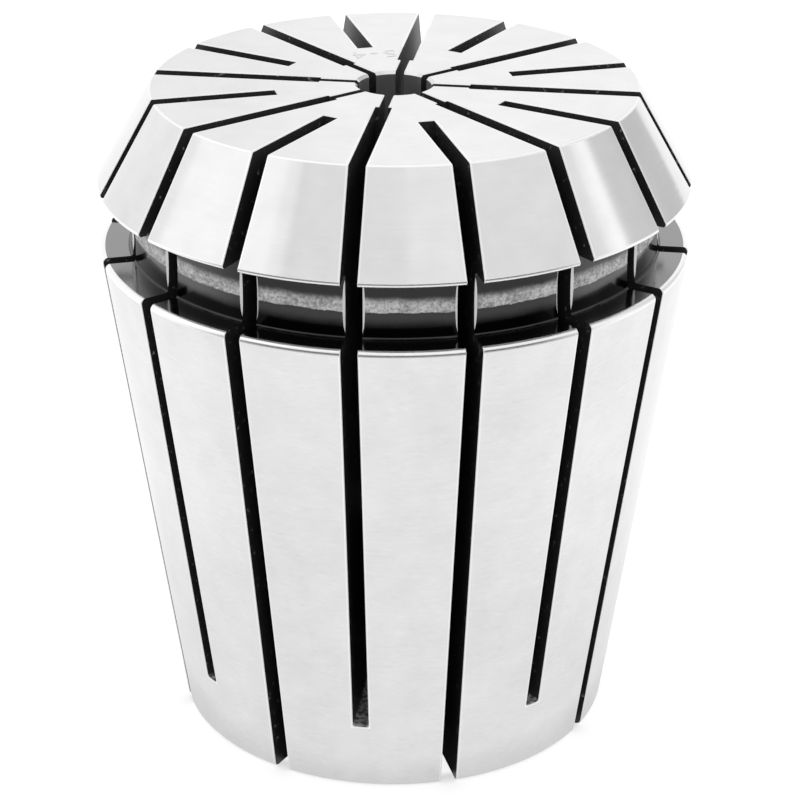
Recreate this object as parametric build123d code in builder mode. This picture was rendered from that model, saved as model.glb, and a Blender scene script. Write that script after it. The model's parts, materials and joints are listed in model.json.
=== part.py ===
"""Spring collet of the 40 size, ground for 4 to 5 mm shanks: one slotted steel sleeve.

It stands on its small end with the head up. The origin is the centre of the small end's face,
and +Z runs along the bore to the head. Sizes are in millimetres.
"""

import os
from math import radians, tan

from build123d import *

# Outside of the sleeve
overall_length = 46.0
body_radius = 20.25  # at the top of the taper, before its edge is rounded
taper_half_angle = 8.0
head_half_angle = 30.0
head_height = 6.65
head_flare = 0.09  # how far the head's lower corner stands past the body, before its edge is rounded
groove_width = 4.3
groove_depth = 2.15

# Bore: a gripping length at the head, relieved towards the small end
bore_radius = 2.5
relief_radius = 5.5
relief_depth = 18.0
drill_point_half_angle = 59.0

# Slots: half of them open on the face, half on the small end, turn and turn about
slots_per_end = 8
slot_width = 1.1
slot_corner = 0.2
face_slit_width = 0.6
rear_slit_width = 0.5
front_slot_root = 5.1  # radius where a face slot narrows to its slit
rear_slot_root = 8.15  # radius where a small-end slot narrows to its slit
small_end_web = 5.15  # solid height left between a face slot and the small end
face_web = 8.0  # solid height left round the bore between a small-end slot's slit and the face

# Edges
edge_break = 0.15
ledge_fillet = 0.2
head_fillet = 0.2
groove_fillet = 0.2
foot_fillet = 0.45
mouth_chamfer = 0.2
relief_chamfer = 0.5

# Places that follow from the sizes above
head_foot = overall_length - head_height
body_top = head_foot - groove_width
groove_radius = body_radius - groove_depth
head_radius = body_radius + head_flare
face_radius = head_radius - head_height * tan(radians(head_half_angle))
foot_radius = body_radius - body_top * tan(radians(taper_half_angle))
relief_end = relief_depth + (relief_radius - bore_radius) / tan(radians(drill_point_half_angle))
cut_reach = body_radius + slot_width  # a cut this long clears the widest part
rear_slit_top = overall_length - face_web


def corner(radius, height):
    """The vertex of the open sketch that lies at this radius and height."""
    return vertices().sort_by_distance((radius, height))[0]


# A face slot: wide from its root outwards, and a slit on to the bore
with BuildPart() as front_cut:
    with BuildSketch(Plane.XZ.offset(front_slot_root)):
        with Locations((0, small_end_web)):
            Rectangle(slot_width, overall_length, align=(Align.CENTER, Align.MIN))
        fillet(vertices().group_by(Axis.Y)[0], slot_corner)
    extrude(amount=cut_reach)
    with BuildSketch(Plane.XZ):
        with Locations((0, small_end_web)):
            Rectangle(face_slit_width, overall_length, align=(Align.CENTER, Align.MIN))
    extrude(amount=front_slot_root + slot_width)

# A small-end slot: wide over the whole length, and a slit that stops below the face
with BuildPart() as rear_cut:
    with BuildSketch(Plane.XZ.offset(rear_slot_root)):
        with Locations((0, overall_length / 2)):
            Rectangle(slot_width, 2 * overall_length)
    extrude(amount=cut_reach)
    with BuildSketch(Plane.XZ):
        with Locations((0, rear_slit_top)):
            Rectangle(rear_slit_width, overall_length, align=(Align.CENTER, Align.MAX))
    extrude(amount=rear_slot_root + slot_width)

# The sleeve: turned and ground all round, then slotted from both ends
with BuildPart() as collet_body:
    with BuildSketch(Plane.XZ):
        with BuildLine():
            Polyline(
                (relief_radius, 0),
                (foot_radius, 0),
                (body_radius, body_top),
                (groove_radius, body_top),
                (groove_radius, head_foot),
                (head_radius, head_foot),
                (face_radius, overall_length),
                (bore_radius, overall_length),
                (bore_radius, relief_end),
                (relief_radius, relief_depth),
                close=True,
            )
        make_face()
        chamfer(corner(relief_radius, 0), relief_chamfer)
        fillet(corner(foot_radius, 0), foot_fillet)
        fillet(corner(body_radius, body_top), ledge_fillet)
        fillet(corner(groove_radius, body_top), groove_fillet)
        fillet(corner(groove_radius, head_foot), groove_fillet)
        fillet(corner(head_radius, head_foot), head_fillet)
        chamfer(corner(face_radius, overall_length), edge_break)
        chamfer(corner(bore_radius, overall_length), mouth_chamfer)
    revolve(axis=Axis.Z)
    with PolarLocations(0, slots_per_end):
        add(front_cut.part, mode=Mode.SUBTRACT)
    with PolarLocations(0, slots_per_end, start_angle=180 / slots_per_end):
        add(rear_cut.part, mode=Mode.SUBTRACT)

os.makedirs("parts", exist_ok=True)
collet_body.part.label = "collet_body"
export_step(collet_body.part, "parts/collet_body.step")
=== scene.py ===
import json
from math import cos, pi, radians, sin, tan

import bpy
from mathutils import Matrix, Vector


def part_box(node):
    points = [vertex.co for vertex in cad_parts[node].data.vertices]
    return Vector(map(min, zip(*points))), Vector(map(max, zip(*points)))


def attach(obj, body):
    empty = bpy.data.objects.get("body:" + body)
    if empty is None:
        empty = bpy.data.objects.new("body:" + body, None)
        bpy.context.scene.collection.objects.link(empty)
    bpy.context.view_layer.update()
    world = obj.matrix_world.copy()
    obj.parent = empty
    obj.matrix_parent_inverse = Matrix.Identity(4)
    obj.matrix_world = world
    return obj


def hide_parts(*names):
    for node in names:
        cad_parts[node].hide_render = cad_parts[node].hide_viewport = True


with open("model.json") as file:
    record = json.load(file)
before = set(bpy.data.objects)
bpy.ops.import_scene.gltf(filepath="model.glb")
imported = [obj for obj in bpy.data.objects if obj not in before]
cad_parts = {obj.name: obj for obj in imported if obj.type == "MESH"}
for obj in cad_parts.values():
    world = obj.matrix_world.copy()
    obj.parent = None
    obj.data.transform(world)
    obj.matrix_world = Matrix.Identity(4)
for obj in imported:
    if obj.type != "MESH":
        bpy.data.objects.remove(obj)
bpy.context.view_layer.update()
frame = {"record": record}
mm = 0.001  # a millimetre in metres


class Wire:  # one output of a node, so that maths on it is written as Python
    def __init__(self, board, socket):
        self.board = board
        self.socket = socket

    def __add__(self, other):
        return self.board.maths("ADD", self, other)

    def __sub__(self, other):
        return self.board.maths("SUBTRACT", self, other)

    def __mul__(self, other):
        return self.board.maths("MULTIPLY", self, other)

    def __truediv__(self, other):
        return self.board.maths("DIVIDE", self, other)

    def __neg__(self):
        return self.board.maths("MULTIPLY", self, -1.0)

    def __pow__(self, other):
        return self.board.maths("POWER", self, other)

    def __rsub__(self, other):
        return self.board.maths("SUBTRACT", other, self)

    def __rtruediv__(self, other):
        return self.board.maths("DIVIDE", other, self)

    __radd__ = __add__
    __rmul__ = __mul__


class Board:  # a node tree, filled one node at a time
    def __init__(self, tree):
        self.tree = tree
        tree.nodes.clear()

    def node(self, kind, settings=None, values=None, out=0):
        made = self.tree.nodes.new(kind)
        for name, setting in (settings or {}).items():
            setattr(made, name, setting)
        for name, value in (values or {}).items():
            for part in value if isinstance(value, list) else [value]:  # a list joins one socket
                if isinstance(part, Wire):
                    self.tree.links.new(part.socket, made.inputs[name])
                else:
                    made.inputs[name].default_value = part
        return Wire(self, made.outputs[out]) if made.outputs else made

    def maths(self, operation, *values):
        return self.node("ShaderNodeMath", {"operation": operation}, dict(enumerate(values)))

    def step(self, value, low, high, atLow=0.0, atHigh=1.0):  # a smooth step between two levels
        ends = {"Value": value, "From Min": low, "From Max": high, "To Min": atLow, "To Max": atHigh}
        return self.node("ShaderNodeMapRange", {"interpolation_type": "SMOOTHSTEP"}, ends)

    def band(self, value, low, high, soft):  # 1 from low to high, and 0 beyond their soft edges
        return self.step(value, low - soft, low) * self.step(value, high, high + soft, 1.0, 0.0)

    def axes(self, place):
        parts = self.node("ShaderNodeSeparateXYZ", None, {"Vector": place})
        return [Wire(self, socket) for socket in parts.socket.node.outputs]


# the collet's own sizes, in millimetres and degrees; its length and bore come from the frame
collet = {
    "bodyRadius": 20.25,
    "taperAngle": 8.0,
    "coneAngle": 30.0,
    "headHeight": 6.65,
    "headFlare": 0.09,
    "grooveWidth": 4.3,
    "grooveDepth": 2.15,
    "reliefRadius": 5.5,
    "reliefDepth": 18.0,
    "drillAngle": 59.0,
    "faceWeb": 8.0,
    "reliefEdge": 0.5,
    "footEdge": 0.45,
    "bodyEdge": 0.33,
    "grooveFillet": 0.2,
    "headEdge": 0.2,
    "faceEdge": 0.15,
    "mouthChamfer": 0.2,
    "edgeBreak": 0.05,
    "edgeMargin": 0.1,
    "mergeAngle": 0.2,
    "sharpEdgeAngle": 35.0,
}
slots = {  # the named inputs of the slotting tree, lengths in metres
    "Flats Round": 288,
    "Slots Per End": 8,
    "Slot Width": 1.1 * mm,
    "Slot Corner": 0.2 * mm,
    "Face Slit Width": 0.6 * mm,
    "Rear Slit Width": 0.5 * mm,
    "Face Slot Root": 5.1 * mm,
    "Rear Slot Root": 8.15 * mm,
    "Small End Web": 5.15 * mm,
    "Groove Edge Break": 0.18 * mm,
    "Overrun": 2.0 * mm,
}
bodyLow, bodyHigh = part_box("collet_body")
shankBore = next(mount for mount in frame["record"]["mounts"] if mount["name"] == "shank_bore")
length = (bodyHigh[2] - bodyLow[2]) / mm
boreRadius = shankBore["dims"]["r_mm"]
headFoot = length - collet["headHeight"]
bodyTop = headFoot - collet["grooveWidth"]
grooveRadius = collet["bodyRadius"] - collet["grooveDepth"]
headRadius = collet["bodyRadius"] + collet["headFlare"]
faceRadius = headRadius - collet["headHeight"] * tan(radians(collet["coneAngle"]))
footRadius = collet["bodyRadius"] - bodyTop * tan(radians(collet["taperAngle"]))
drillPoint = (collet["reliefRadius"] - boreRadius) / tan(radians(collet["drillAngle"]))
slots["Body Radius"] = collet["bodyRadius"] * mm
slots["Length"] = length * mm
slots["Rear Slit Top"] = (length - collet["faceWeb"]) * mm
groundSlot, sawnSlot, brokenSlot = range(3)  # the sleeve's materials


def roundedCorner(before, corner, after, size, steps):  # the points that stand in for a sharp corner
    back = (before - corner).normalized()
    ahead = (after - corner).normalized()
    if steps == 0:
        return [corner]
    if steps == 1:
        return [corner + back * size, corner + ahead * size]
    half = back.angle(ahead) / 2
    middle = corner + (back + ahead).normalized() * size / sin(half)
    start = corner + back * size / tan(half) - middle
    end = corner + ahead * size / tan(half) - middle
    turn = pi - 2 * half
    arc = []
    for step in range(steps + 1):
        along = turn * step / steps
        arc.append(middle + (start * sin(turn - along) + end * sin(along)) / sin(turn))
    return arc


def turnedOutline():  # the sleeve's section: radius across, height up, its edges broken
    fillet = collet["grooveFillet"]
    corners = [  # radius, height, size of the rounding and its steps; one step is a chamfer
        (collet["reliefRadius"], 0, collet["reliefEdge"], 1),
        (footRadius, 0, collet["footEdge"], 4),
        (collet["bodyRadius"], bodyTop, collet["bodyEdge"], 6),
        (grooveRadius, bodyTop, fillet, 3),
        (grooveRadius, headFoot, fillet, 3),
        (headRadius, headFoot, collet["headEdge"], 6),
        (faceRadius, length, collet["faceEdge"], 3),
        (boreRadius, length, collet["mouthChamfer"], 1),
        (boreRadius, collet["reliefDepth"] + drillPoint, 0, 0),
        (collet["reliefRadius"], collet["reliefDepth"], 0, 0),
    ]
    spots = [Vector(corner[:2]) for corner in corners]
    points = []
    for index, (radius, height, size, steps) in enumerate(corners):
        after = spots[(index + 1) % len(spots)]
        points += roundedCorner(spots[index - 1], spots[index], after, size, steps)
    outline = bpy.data.meshes.new("turnedOutline")
    rim = [(index, (index + 1) % len(points)) for index in range(len(points))]
    outline.from_pydata([(point.x * mm, point.y * mm, 0) for point in points], rim, [])
    return outline


def copiedRound(board, bar, count, turn=0):  # copies of a bar, spaced evenly round the axis
    places = board.node("GeometryNodePoints", None, {"Count": count})
    angle = (board.node("GeometryNodeInputIndex") + turn) * (2 * pi) / count
    facing = board.node("ShaderNodeCombineXYZ", None, {"Z": angle})
    facing = board.node("FunctionNodeEulerToRotation", None, {"Euler": facing})
    copies = {"Points": places, "Instance": bar, "Rotation": facing}
    return board.node("GeometryNodeInstanceOnPoints", None, copies)


def namedFaces(board, shape, name):  # a shape whose faces, and what they cut, can be chosen by a name
    marking = {"data_type": "BOOLEAN", "domain": "FACE"}
    marks = {"Geometry": shape, "Name": name, "Value": True}
    return board.node("GeometryNodeStoreNamedAttribute", marking, marks)


def sawCut(board, size, width, corner, root, reach, foot, top, turn):
    # a bar that points out along -Y from root to reach, then copied round the axis
    rectangle = {"Width": width, "Height": top - foot}
    section = board.node("GeometryNodeCurvePrimitiveQuadrilateral", {"mode": "RECTANGLE"}, rectangle)
    rounding = {"Curve": section, "Count": 4, "Radius": corner}
    section = board.node("GeometryNodeFilletCurve", {"mode": "POLY"}, rounding)
    middle = (foot + top) / 2
    start = board.node("ShaderNodeCombineXYZ", None, {"Y": -root, "Z": middle})
    end = board.node("ShaderNodeCombineXYZ", None, {"Y": -reach, "Z": middle})
    path = board.node("GeometryNodeCurvePrimitiveLine", {"mode": "POINTS"}, {"Start": start, "End": end})
    path = board.node("GeometryNodeSetCurveNormal", {"mode": "Z_UP"}, {"Curve": path})
    sweep = {"Curve": path, "Profile Curve": section, "Fill Caps": True}
    bar = namedFaces(board, board.node("GeometryNodeCurveToMesh", None, sweep), "sawn")
    return copiedRound(board, bar, size["Slots Per End"], turn)


brush = {  # the tool for the slots' edges in the groove's wall; its inset is in millimetres
    "inset": 0.3,
    "flatness": 0.7,
    "rings": 9,
}


def edgeBrush(board, size):
    # a four-sided barrel stood in each slot's mouth, which rounds the slot's edges in the groove's wall
    heights = (bodyTop + brush["inset"], headFoot - brush["inset"])
    low, high = ((0, -grooveRadius * mm, height * mm) for height in heights)
    path = board.node("GeometryNodeCurvePrimitiveLine", {"mode": "POINTS"}, {"Start": low, "End": high})
    path = board.node("GeometryNodeResampleCurve", None, {"Curve": path, "Count": brush["rings"]})
    path = board.node("GeometryNodeSetCurveNormal", {"mode": "Z_UP"}, {"Curve": path})
    square = {"Resolution": 4, "Radius": 1.0}
    section = board.node("GeometryNodeCurvePrimitiveCircle", {"mode": "RADIUS"}, square)
    flattened = {"Geometry": section, "Scale": (1, brush["flatness"], 1)}
    section = board.node("GeometryNodeTransform", None, flattened)
    along = board.node("GeometryNodeSplineParameter", None, None, "Factor")
    belly = board.maths("SINE", along * pi) ** 0.5
    half = size["Slot Width"] / 2 + belly * size["Groove Edge Break"]
    sweep = {"Curve": path, "Profile Curve": section, "Scale": half, "Fill Caps": True}
    barrel = namedFaces(board, board.node("GeometryNodeCurveToMesh", None, sweep), "brushed")
    return copiedRound(board, barrel, size["Slots Per End"] * 2)


def slottedSleeve(outer, sawn, broken):
    tree = bpy.data.node_groups.new("slottedSleeve", "GeometryNodeTree")
    board = Board(tree)
    tree.interface.new_socket("Outline", in_out="INPUT", socket_type="NodeSocketGeometry")
    tree.interface.new_socket("Sleeve", in_out="OUTPUT", socket_type="NodeSocketGeometry")
    places = {}
    for name, value in slots.items():
        kind = "NodeSocketInt" if isinstance(value, int) else "NodeSocketFloat"
        places[name] = tree.interface.new_socket(name, in_out="INPUT", socket_type=kind).identifier
    entry = tree.nodes.new("NodeGroupInput")
    size = {name: Wire(board, entry.outputs[name]) for name in slots}

    # turned: the outline swept round a thin ring on the axis
    ringRadius = 1.0 * mm
    outline = board.node("GeometryNodeMeshToCurve", None, {"Mesh": Wire(board, entry.outputs["Outline"])})
    placed = {"Geometry": outline, "Translation": (-ringRadius, 0, 0), "Scale": (1, -1, 1)}
    outline = board.node("GeometryNodeTransform", None, placed)
    outline = board.node("GeometryNodeReverseCurve", None, {"Curve": outline})
    ring = {"Resolution": size["Flats Round"], "Radius": ringRadius}
    ring = board.node("GeometryNodeCurvePrimitiveCircle", {"mode": "RADIUS"}, ring)
    turned = board.node("GeometryNodeCurveToMesh", None, {"Curve": ring, "Profile Curve": outline})

    # slotted: wide cuts from either end, and the slits that lead on from them to the bore
    width = size["Slot Width"]
    above = size["Length"] + size["Overrun"]
    below = -size["Overrun"]
    web = size["Small End Web"]
    outside = size["Body Radius"] + size["Overrun"]
    faceRoot = size["Face Slot Root"]
    rearRoot = size["Rear Slot Root"]
    faceSlit = size["Face Slit Width"]
    rearSlit = size["Rear Slit Width"]
    slitTop = size["Rear Slit Top"]
    cuts = [
        sawCut(board, size, width, size["Slot Corner"], faceRoot, outside, web, above, 0),
        sawCut(board, size, faceSlit, 0.0, 0.0, faceRoot + width, web, above, 0),
        sawCut(board, size, width, 0.0, rearRoot, outside, below, above, 0.5),
        sawCut(board, size, rearSlit, 0.0, 0.0, rearRoot + width, below, slitTop, 0.5),
        edgeBrush(board, size),
    ]
    cutting = {"operation": "DIFFERENCE", "solver": "MANIFOLD"}
    slotted = board.node("GeometryNodeMeshBoolean", cutting, {"Mesh 1": turned, "Mesh 2": cuts})
    slotted = board.node("GeometryNodeRealizeInstances", None, {"Geometry": slotted})
    slotted = board.node("GeometryNodeSetMaterial", None, {"Geometry": slotted, "Material": outer})
    for name, finish in (("sawn", sawn), ("brushed", broken)):
        chosen = board.node("GeometryNodeInputNamedAttribute", {"data_type": "BOOLEAN"}, {"Name": name})
        finished = {"Geometry": slotted, "Selection": chosen, "Material": finish}
        slotted = board.node("GeometryNodeSetMaterial", None, finished)
    leaving = tree.nodes.new("NodeGroupOutput")
    tree.links.new(slotted.socket, leaving.inputs["Sleeve"])
    return tree, places


def applied(piece):  # the modifiers worked into a plain mesh
    plain = bpy.data.meshes.new_from_object(piece.evaluated_get(bpy.context.evaluated_depsgraph_get()))
    piece.modifiers.clear()
    piece.data = plain
    return plain


def orderFinishes(mesh, finishes):  # one slot for each finish, in this order
    places = [finishes.index(finish) if finish in finishes else groundSlot for finish in mesh.materials]
    indices = [places[face.material_index] for face in mesh.polygons]
    mesh.materials.clear()
    for finish in finishes:
        mesh.materials.append(finish)
    mesh.polygons.foreach_set("material_index", indices)


def markOpenEdges(mesh):  # for the bevel: the slots' edges outside, but not in the hollow or the groove
    margin = collet["edgeMargin"]
    sides = {}
    for face in mesh.polygons:
        for key in face.edge_keys:
            sides.setdefault(key, set()).add(face.material_index)
    weights = mesh.attributes.new("bevel_weight_edge", "FLOAT", "EDGE").data
    for edge in mesh.edges:
        start, end = (mesh.vertices[index].co for index in edge.vertices)
        middle = (start + end) / (2 * mm)
        outside = middle.xy.length > collet["reliefRadius"] + margin or middle.z > length - margin
        outside = outside and not bodyTop - margin / 2 < middle.z < headFoot + margin / 2
        atSlot = sawnSlot in sides[edge.key] and len(sides[edge.key]) > 1
        weights[edge.index].value = float(outside and atSlot)


def shadeRound(mesh):  # on turned faces each corner's normal points straight out from the axis
    aslant = 0.05  # a face that looks further aside than this was not turned
    normals = [Vector(corner.vector) for corner in mesh.corner_normals]
    for face in mesh.polygons:
        aside = abs(face.normal.xy.cross(face.center.xy.normalized()))
        if face.material_index != groundSlot or aside > aslant:
            continue
        for index in face.loop_indices:
            outwards = mesh.vertices[mesh.loops[index].vertex_index].co.xy.normalized()
            normal = normals[index]
            outwards *= normal.xy.length * (1 if normal.xy.dot(outwards) > 0 else -1)
            normals[index] = Vector((outwards.x, outwards.y, normal.z))
    mesh.normals_split_custom_set(normals)


def makeSleeve(outer, sawn, broken):
    sleeve = bpy.data.objects.new("slottedSleeve", turnedOutline())
    bpy.context.scene.collection.objects.link(sleeve)
    tree, places = slottedSleeve(outer, sawn, broken)
    slotting = sleeve.modifiers.new("slotting", "NODES")
    slotting.node_group = tree
    for name, value in slots.items():
        slotting[places[name]] = value
    orderFinishes(applied(sleeve), [outer, sawn, broken])
    merging = sleeve.modifiers.new("mergeFlats", "DECIMATE")
    merging.decimate_type = "DISSOLVE"
    merging.angle_limit = radians(collet["mergeAngle"])
    merging.delimit = {"MATERIAL"}
    markOpenEdges(applied(sleeve))
    breaking = sleeve.modifiers.new("breakEdges", "BEVEL")
    breaking.limit_method = "WEIGHT"
    breaking.width = collet["edgeBreak"] * mm
    breaking.segments = 1
    breaking.use_clamp_overlap = False
    breaking.material = brokenSlot
    mesh = applied(sleeve)
    mesh.polygons.foreach_set("use_smooth", [True] * len(mesh.polygons))
    mesh.set_sharp_from_angle(angle=radians(collet["sharpEdgeAngle"]))
    shading = sleeve.modifiers.new("largeFacesLead", "WEIGHTED_NORMAL")
    shading.keep_sharp = True
    shadeRound(applied(sleeve))
    return sleeve


# the size mark: the clamping range as plain numbers, etched on the face
mark = {
    "text": "5-4",
    "height": 1.5 * mm,
    "sizeForHeight": 1.4,
    "spacing": 1.2,
    "radius": 6.55 * mm,
    "angle": -159.6,
    "depth": 0.01 * mm,
    "curveSteps": 6,
    "grey": 0.74,
    "roughness": 0.35,
}


def makeMark(material):
    words = bpy.data.curves.new("sizeWords", "FONT")
    words.body = mark["text"]
    words.align_x = "CENTER"
    words.align_y = "CENTER"
    words.size = mark["height"] * mark["sizeForHeight"]
    words.space_character = mark["spacing"]
    words.extrude = mark["depth"]
    words.resolution_u = mark["curveSteps"]
    holder = bpy.data.objects.new("sizeHolder", words)
    bpy.context.scene.collection.objects.link(holder)
    shape = bpy.data.meshes.new_from_object(holder.evaluated_get(bpy.context.evaluated_depsgraph_get()))
    bpy.data.objects.remove(holder)
    # its feet are to the rim, so its own -Y points out along the radius
    outwards = radians(mark["angle"])
    centre = Vector((sin(outwards), -cos(outwards), 0)) * mark["radius"] + Vector((0, 0, bodyHigh[2]))
    shape.transform(Matrix.Translation(centre) @ Matrix.Rotation(outwards, 4, "Z"))
    shape.materials.clear()
    shape.materials.append(material)
    piece = bpy.data.objects.new("sizeMark", shape)
    bpy.context.scene.collection.objects.link(piece)
    return piece


def newMaterial(name):
    material = bpy.data.materials.new(name)
    material.use_nodes = True
    return material, Board(material.node_tree)


def finishMaterial(board, values):
    shader = board.node("ShaderNodeBsdfPrincipled", None, values)
    board.node("ShaderNodeOutputMaterial", None, {"Surface": shader})


def objectPlace(board):
    return board.node("ShaderNodeTexCoord", None, None, "Object")


def workedPlace(board):  # where a point of the steel lies, and in millimetres its radius and height
    place = objectPlace(board)
    x, y, z = (axis / mm for axis in board.axes(place))
    radius = (x * x + y * y) ** 0.5
    return place, x, y, z, radius


def besideSlots(board, x, y, radius, count):  # how far aside of the nearest of so many slots' middles
    turn = board.maths("ARCTAN2", x, -y)
    return radius * board.maths("SINE", board.maths("PINGPONG", turn, pi / count))


def turnedNoise(board, x, y, radius, along, perTurn, perMillimetre):  # noise drawn out round the axis
    lines = {"X": x / radius * perTurn, "Y": y / radius * perTurn, "Z": along * perMillimetre}
    lines = board.node("ShaderNodeCombineXYZ", None, lines)
    values = {"Vector": lines, "Scale": 1.0, "Detail": 3.0}
    return board.node("ShaderNodeTexNoise", None, values, "Fac") - 0.5


def noise(board, place, perMillimetre, detail=3.0):
    values = {"Vector": place, "Scale": perMillimetre / mm, "Detail": detail}
    return board.node("ShaderNodeTexNoise", None, values, "Fac") - 0.5


def greyColour(board, grey):
    return board.node("ShaderNodeCombineColor", None, {"Red": grey, "Green": grey, "Blue": grey})


def blend(first, second, amount):
    return first + (second - first) * amount


# ground bright outside; the groove keeps the dark skin of hardening, with a scaly band round its wall
# distances are in millimetres; a rate is a turned noise's scale round the axis and along it,
# and a grain is a plain noise's scale and detail
ground = {
    "grey": 0.82,
    "roughness": 0.11,
    "streaks": 0.04,
    "streakRate": (7.0, 2.5),
    "streakRoughness": 0.06,
    "lines": 0.02,
    "lineRate": (1.5, 9.0),
    "dashes": 0.025,
    "dashRate": (30.0, 5.0),
    "dashEnds": (0.06, 0.2),
    "dashesTop": (0.3, 0.2),
    "headDashes": 0.3,
    "blotches": 0.08,
    "blotchGrain": (0.12, 2.0),
    "clouds": 0.11,
    "cloudGrain": (0.45, 2.0),
    "bumpStrength": 0.1,
    "bumpHeight": 0.02,
    "burnishedGrey": 1.0,
    "burnishedReach": (0.62, 0.72),
    "burnishedFrom": (8.2, 8.25),
    "uncutReach": (1.0, 1.1),
    "uncutInset": (0.14, 0.06),
    "wornGrey": 1.0,
    "wornRoughness": 0.3,
    "ledgeGrey": 0.26,
    "ledgeRoughness": 0.13,
    "ledgeInset": 0.2,
    "footGrey": 0.05,
    "cornerGrey": 0.015,
    "wallGrey": 0.115,
    "wallRise": (0.7, 1.5),
    "underHeadGrey": 0.085,
    "underHeadFade": 0.2,
    "grooveRoughness": 0.13,
    "scaleGrey": 0.68,
    "scaleMetal": 0.15,
    "scaleRoughness": 0.6,
    "scaleBelowHead": (2.48, 1.85),
    "scaleEdges": (0.07, 0.1),
    "scaleFade": 0.5,
    "scaleContrast": (0.3, 0.35, 1.15),
    "mouthGrey": 0.78,
    "reliefGrey": 0.06,
    "boreGrey": 0.4,
    "boreFade": 3.0,
    "boreRoughness": 0.55,
}
raggedness = [(0.5, 0.3), (3.0, 0.15)]  # the scales of noise in the scaly band's edges, and their reach
mottling = [(5.5, 6.0, 1.0), (1.2, 2.0, 0.5), (0.35, 1.0, 0.4)]  # the scaly band's grains and their weights
highlightedEdges = [  # for each turned edge with a painted highlight: its lowest, its highest and its least radius
    (length - 0.08, length + 1.0, faceRadius - 0.09),
    (headFoot - 0.01, headFoot + 0.3, headRadius - 0.35),
    (bodyTop - 0.38, bodyTop + 0.01, collet["bodyRadius"] - 0.38),
]
soft = 0.01  # how softly one finish meets the next, in millimetres


def grooveFinish(board, place, z, radius):  # the wall by height, then the fillet at its foot and the ledge
    low, high = (headFoot - drop for drop in ground["scaleBelowHead"])
    under, over = ground["scaleEdges"]
    start, end = (bodyTop + rise for rise in ground["wallRise"])
    raggedZ = z + sum(noise(board, place, scale) * reach for scale, reach in raggedness)
    # the wall is painted darker towards the ledge: painted shade in the corner
    wallGrey = blend(ground["cornerGrey"], ground["wallGrey"], board.step(raggedZ, start, end))
    wallGrey = blend(wallGrey, ground["underHeadGrey"], board.step(raggedZ, high, high + ground["underHeadFade"]))
    scaly = board.step(raggedZ, low - under, low)
    scaly = scaly * board.step(raggedZ, high - over, high + ground["scaleFade"], 1.0, 0.0)
    mottle = sum(noise(board, place, scale, detail) * weight for scale, detail, weight in mottling)
    spread, least, most = ground["scaleContrast"]
    mottle = board.step(mottle, -spread, spread, least, most)
    wallGrey = blend(wallGrey, mottle * ground["scaleGrey"], scaly)

    fillet = collet["grooveFillet"]
    filletTop = bodyTop + fillet
    # the fillet in the corner is painted darker still: painted shade
    foot = board.step(radius, grooveRadius + soft, grooveRadius + soft * 3)
    foot = foot * board.step(z, filletTop, filletTop + soft * 2, 1.0, 0.0)
    ledge = board.step(radius, grooveRadius + fillet - soft * 3, grooveRadius + fillet)
    ledge = ledge * board.step(z, filletTop, filletTop + soft * 10, 1.0, 0.0)
    grey = blend(blend(wallGrey, ground["footGrey"], foot), ground["ledgeGrey"], ledge)
    roughness = blend(ground["grooveRoughness"], ground["scaleRoughness"], scaly)
    roughness = blend(roughness, ground["ledgeRoughness"], ledge)
    return grey, roughness, scaly


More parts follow.
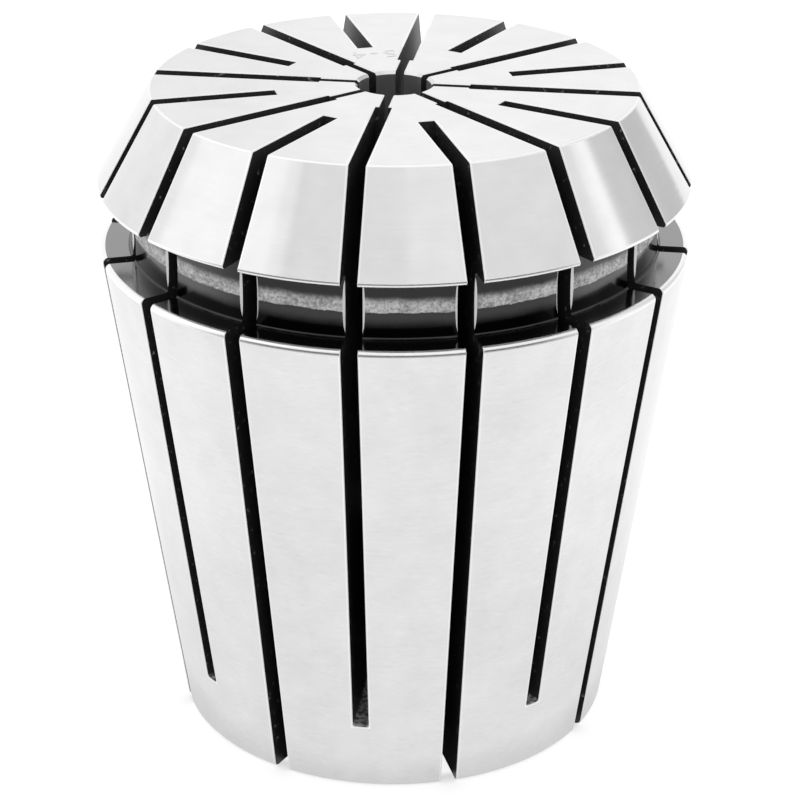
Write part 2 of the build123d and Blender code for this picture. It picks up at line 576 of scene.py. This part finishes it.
def groundSteel():
    material, board = newMaterial("groundSteel")
    place, x, y, z, radius = workedPlace(board)
    along = z - radius
    streaks = turnedNoise(board, x, y, radius, along, *ground["streakRate"])
    lines = turnedNoise(board, x, y, radius, along, *ground["lineRate"])
    dashes = turnedNoise(board, x, y, radius, along, *ground["dashRate"])
    least, most = ground["dashEnds"]
    dashes = board.step(dashes, least, most) - board.step(dashes, -most, -least, 1.0, 0.0)
    low, high = (bodyTop - drop for drop in ground["dashesTop"])
    dashes = dashes * board.step(z, low, high, 1.0, ground["headDashes"])
    blotches = noise(board, place, *ground["blotchGrain"])
    clouds = noise(board, place, *ground["cloudGrain"])
    grey = ground["grey"] + streaks * ground["streaks"] + lines * ground["lines"] + dashes * ground["dashes"]
    grey = grey + blotches * ground["blotches"] + clouds * ground["clouds"]
    roughness = ground["roughness"] + streaks * ground["streakRoughness"]

    # a painted highlight beside the slots' edges, but not on the web that the face slots leave uncut below them
    slotCount = slots["Slots Per End"]
    near, far = ground["burnishedReach"]
    rimHighlight = board.step(besideSlots(board, x, y, radius, slotCount * 2), near, far, 1.0, 0.0)
    rimHighlight = rimHighlight * board.step(radius, *ground["burnishedFrom"])
    near, far = ground["uncutReach"]
    low, high = (slots["Small End Web"] / mm - inset for inset in ground["uncutInset"])
    uncut = board.step(besideSlots(board, x, y, radius, slotCount), near, far, 1.0, 0.0)
    rimHighlight = rimHighlight * (1 - uncut * board.step(z, low, high, 1.0, 0.0))
    grey = blend(grey, ground["burnishedGrey"], rimHighlight)

    ledgeRadius = collet["bodyRadius"] - ground["ledgeInset"]
    groove = board.band(z, bodyTop - soft, headFoot - soft * 10, soft)
    groove = groove * board.band(radius, grooveRadius - soft * 2, ledgeRadius, soft)
    grooveGrey, grooveRoughness, scaly = grooveFinish(board, place, z, radius)
    grey = blend(grey, grooveGrey, groove)
    roughness = blend(roughness, grooveRoughness, groove)
    metal = 1 - groove * scaly * (1 - ground["scaleMetal"])

    # the turned edges are painted bright: a painted highlight
    unhighlighted = 1.0
    for low, high, inner in highlightedEdges:
        unhighlighted = unhighlighted * (1 - board.band(z, low, high, soft) * board.step(radius, inner - soft, inner))
    grey = blend(grey, ground["wornGrey"], 1 - unhighlighted)
    roughness = blend(roughness, ground["wornRoughness"], 1 - unhighlighted)

    # the bore and the relief behind it, and the chamfer at the bore's mouth
    mouthFoot = length - collet["mouthChamfer"]
    mouthRadius = boreRadius + collet["mouthChamfer"]
    inside = board.step(radius, collet["reliefRadius"] + soft * 5, collet["reliefRadius"] + soft * 10, 1.0, 0.0)
    inside = inside * board.band(z, collet["reliefEdge"], mouthFoot - soft, soft / 2)
    mouth = board.step(radius, mouthRadius - soft, mouthRadius + soft, 1.0, 0.0)
    mouth = mouth * board.step(z, mouthFoot - soft / 2, mouthFoot)
    deep = board.step(z, collet["reliefDepth"], collet["reliefDepth"] + ground["boreFade"])
    grey = blend(grey, blend(ground["reliefGrey"], ground["boreGrey"], deep), inside)
    grey = blend(grey, ground["mouthGrey"], mouth)
    roughness = blend(roughness, ground["boreRoughness"], inside)
    strength, height = ground["bumpStrength"], ground["bumpHeight"] * mm
    surface = {"Height": streaks + lines, "Strength": strength, "Distance": height}
    surface = board.node("ShaderNodeBump", None, surface)
    values = {"Base Color": greyColour(board, grey), "Metallic": metal, "Roughness": roughness, "Normal": surface}
    finishMaterial(board, values)
    return material


broken = {
    "grey": 0.93,
    "grain": (1.0, 3.0),
    "variation": 0.05,
    "metal": 0.15,
    "roughness": 0.35,
}


def brokenSteel():  # where the ground edges are broken they are painted near white and mostly unmetallic, so that they show as bright lines whichever way they face: a painted highlight
    material, board = newMaterial("brokenSteel")
    grey = broken["grey"] + noise(board, objectPlace(board), *broken["grain"]) * broken["variation"]
    values = {"Base Color": greyColour(board, grey), "Metallic": broken["metal"], "Roughness": broken["roughness"]}
    finishMaterial(board, values)
    return material


# the slots keep the saw's dull skin, scratched here and there, and paler where light falls on their floors
sawn = {
    "grey": 0.02,
    "mouthGrey": 0.03,
    "mouthDepth": 2.5,
    "scratchGrey": 0.26,
    "scratchGrain": (2.6, 6.0),
    "scratchEnds": (0.12, 0.24),
    "floorGrey": 0.6,
    "floorGrain": (2.5, 4.0),
    "floorContrast": (0.12, 0.2, 1.0),
    "floorSide": (0.01, 0.05),
    "floorRise": (0.05, 0.25),
    "roughness": 0.4,
}


def sawnSteel():
    material, board = newMaterial("sawnSteel")
    place, x, y, z, radius = workedPlace(board)
    grey = blend(sawn["grey"], sawn["mouthGrey"], board.step(z, length - sawn["mouthDepth"], length))
    scratches = board.step(noise(board, place, *sawn["scratchGrain"]), *sawn["scratchEnds"])
    grey = blend(grey, sawn["scratchGrey"], scratches)
    # the face slots' floors lie on the web left at the small end
    aside = besideSlots(board, x, y, radius, slots["Slots Per End"])
    near, far = (slots["Slot Width"] / 2 / mm + side for side in sawn["floorSide"])
    low, high = (slots["Small End Web"] / mm + rise for rise in sawn["floorRise"])
    floor = board.step(aside, near, far, 1.0, 0.0) * board.step(z, low, high, 1.0, 0.0)
    spread, least, most = sawn["floorContrast"]
    mottle = board.step(noise(board, place, *sawn["floorGrain"]), -spread, spread, least, most)
    grey = blend(grey, mottle * sawn["floorGrey"], floor)
    finishMaterial(board, {"Base Color": greyColour(board, grey), "Roughness": sawn["roughness"]})
    return material


def markSteel():
    material, board = newMaterial("markSteel")
    colour = (mark["grey"], mark["grey"], mark["grey"], 1)
    finishMaterial(board, {"Base Color": colour, "Metallic": 1.0, "Roughness": mark["roughness"]})
    return material


# a pale paper floor in an even room; lengths in metres, angles in degrees from the studio's front
studio = {
    "front": 8.042,
    "floorHalf": 1.5,
    "floorGrey": 0.65,
    "floorGlow": 0.55,
    "paperShine": 0.8,
    "paperFoot": 0.94,
    "paperFront": 0.965,
    "paperRise": (0.02, 0.06),
    "paperSideFoot": 0.91,
    "paperSide": 1.04,
    "paperSideRise": (0.018, 0.045),
    "paperFrontSpan": (-45, 30, 50),
    "paperEnd": (0.07, 0.09),
    "pastSpan": (-58, 58, 30),
    "pastLight": 0.45,
    "contactLight": 0.82,
    "contactReach": (0.0148, 0.0185),
    "footReach": (0.0138, 0.0146),
    "underLight": 0.04,
    "underGlow": 0.85,
    "boreReach": (0.009, 0.011),
    "bandSoft": 1.5,
    "bandTop": (60, 70),
    "darkRoom": 0.03,
    "darkSpan": (-58, 58, 16),
    "darkTop": (24, 27),
}
roomBands = [  # where round the room each band begins, and its light
    (-180, 1.04),
    (-177.8, 0.965),
    (-140, 0.98),
    (-100, 1.12),
    (-52.6, 1.0),
    (-46, 0.83),
    (-42.5, 0.875),
    (6, 0.94),
    (30, 0.86),
    (89.5, 1.05),
    (93.5, 1.15),
    (98.8, 0.76),
    (102, 0.7),
    (112, 0.67),
    (125, 0.64),
    (141, 0.965),
    (178.4, 1.04),
]
camera = {  # it stands at the studio's front; lengths in millimetres, angles in degrees
    "distance": 166.79,
    "height": 100.127,
    "pitch": 24.973,
    "roll": 0.098,
    "lens": 116.402,
    "sensorWidth": 36.0,
    "shift": 0.0074,
    "nearest": 10.0,
}


def fromFront(board, x, y):  # the angle round the studio, 0 at its front
    return board.maths("ARCTAN2", x, -y) * (180 / pi) - studio["front"]


def makeFloor():
    half = studio["floorHalf"]
    corners = [(-half, -half, 0), (half, -half, 0), (half, half, 0), (-half, half, 0)]
    plane = bpy.data.meshes.new("studioFloor")
    plane.from_pydata(corners, [], [(0, 1, 2, 3)])
    floor = bpy.data.objects.new("studioFloor", plane)
    bpy.context.scene.collection.objects.link(floor)
    plane.materials.append(floorPaper())


def floorPaper():
    material, board = newMaterial("floorPaper")
    x, y, _ = board.axes(objectPlace(board))
    distance = (x * x + y * y) ** 0.5
    angle = fromFront(board, x, y)
    # what the steel reflects: paper all round, its end in front, and the dark of the room past it
    front = board.band(angle, *studio["paperFrontSpan"])
    # close to the object's foot the paper is painted darker: a painted contact shadow in what the steel reflects
    paper = board.step(distance, *studio["paperRise"], studio["paperFoot"], studio["paperFront"])
    side = board.step(distance, *studio["paperSideRise"], studio["paperSideFoot"], studio["paperSide"])
    past = board.step(distance, *studio["paperEnd"]) * board.band(angle, *studio["pastSpan"])
    paper = blend(side, paper, front) * (1 - past * (1 - studio["pastLight"]))
    # shaded where the object stands on it, and dark below the object
    paper = paper * board.step(distance, *studio["contactReach"], studio["contactLight"], 1.0)
    paper = paper * board.step(distance, *studio["footReach"], studio["underLight"], 1.0)
    reflected = board.node("ShaderNodeLightPath", None, None, "Is Glossy Ray")
    seen = board.node("ShaderNodeLightPath", None, None, "Is Camera Ray")
    clear = board.step(distance, *studio["boreReach"])  # no light reaches it below the bore
    # for the camera the paper glows, and glows brighter below the object: painted light over the object's shadow,
    # so the floor seen through the slots stays white
    seenGlow = board.step(distance, *studio["footReach"], studio["underGlow"], studio["floorGlow"]) * clear
    shine = studio["paperShine"]
    grey = blend(studio["floorGrey"] * clear, paper * (1 - shine), reflected)
    glow = seen * seenGlow + reflected * paper * shine
    values = {"Base Color": greyColour(board, grey), "Roughness": 0.9, "Specular IOR Level": 0.0}
    values["Emission Color"] = greyColour(board, glow)
    values["Emission Strength"] = 1.0
    finishMaterial(board, values)
    return material


def makeRoom():
    world = bpy.data.worlds.new("studioRoom")
    bpy.context.scene.world = world
    world.use_nodes = True
    board = Board(world.node_tree)
    x, y, z = board.axes(objectPlace(board))
    angle = fromFront(board, x, y)
    elevation = board.maths("ARCSINE", z) * (180 / pi)
    soft = studio["bandSoft"]
    level = roomBands[0][1]
    for (start, light), (_, before) in zip(roomBands[1:], roomBands):
        level = level + board.step(angle, start - soft, start + soft) * (light - before)
    level = 1 + (level - 1) * board.step(elevation, *studio["bandTop"], 1.0, 0.0)
    # low at the front the room is dark; only the steel's reflections see any of this
    dark = board.band(angle, *studio["darkSpan"]) * board.step(elevation, *studio["darkTop"], 1.0, 0.0)
    level = level * (1 - dark * (1 - studio["darkRoom"]))
    reflected = board.node("ShaderNodeLightPath", None, None, "Is Glossy Ray")
    level = 1 + (level - 1) * reflected
    light = board.node("ShaderNodeBackground", None, {"Color": (1, 1, 1, 1), "Strength": level})
    board.node("ShaderNodeOutputWorld", None, {"Surface": light})


def makeCamera():
    lens = bpy.data.cameras.new("studioCamera")
    lens.sensor_width = camera["sensorWidth"]
    lens.lens = camera["lens"]
    lens.shift_x = camera["shift"]
    lens.clip_start = camera["nearest"] * mm
    stand = bpy.data.objects.new("studioCamera", lens)
    turn = radians(studio["front"])
    away = camera["distance"] * mm
    stand.location = (away * sin(turn), -away * cos(turn), camera["height"] * mm)
    facing = Matrix.Rotation(turn, 4, "Z") @ Matrix.Rotation(radians(90 - camera["pitch"]), 4, "X")
    stand.rotation_euler = (facing @ Matrix.Rotation(radians(camera["roll"]), 4, "Z")).to_euler()
    bpy.context.scene.collection.objects.link(stand)
    bpy.context.scene.camera = stand


bpy.context.scene.view_settings.view_transform = "Standard"
makeCamera()
makeFloor()
makeRoom()
print("studio: camera, floor and room")

sleeve = makeSleeve(groundSteel(), sawnSteel(), brokenSteel())
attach(sleeve, "root")
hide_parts("collet_body")
print("sleeve:", len(sleeve.data.polygons), "faces")

number = makeMark(markSteel())
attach(number, "root")
print("size mark:", mark["text"])
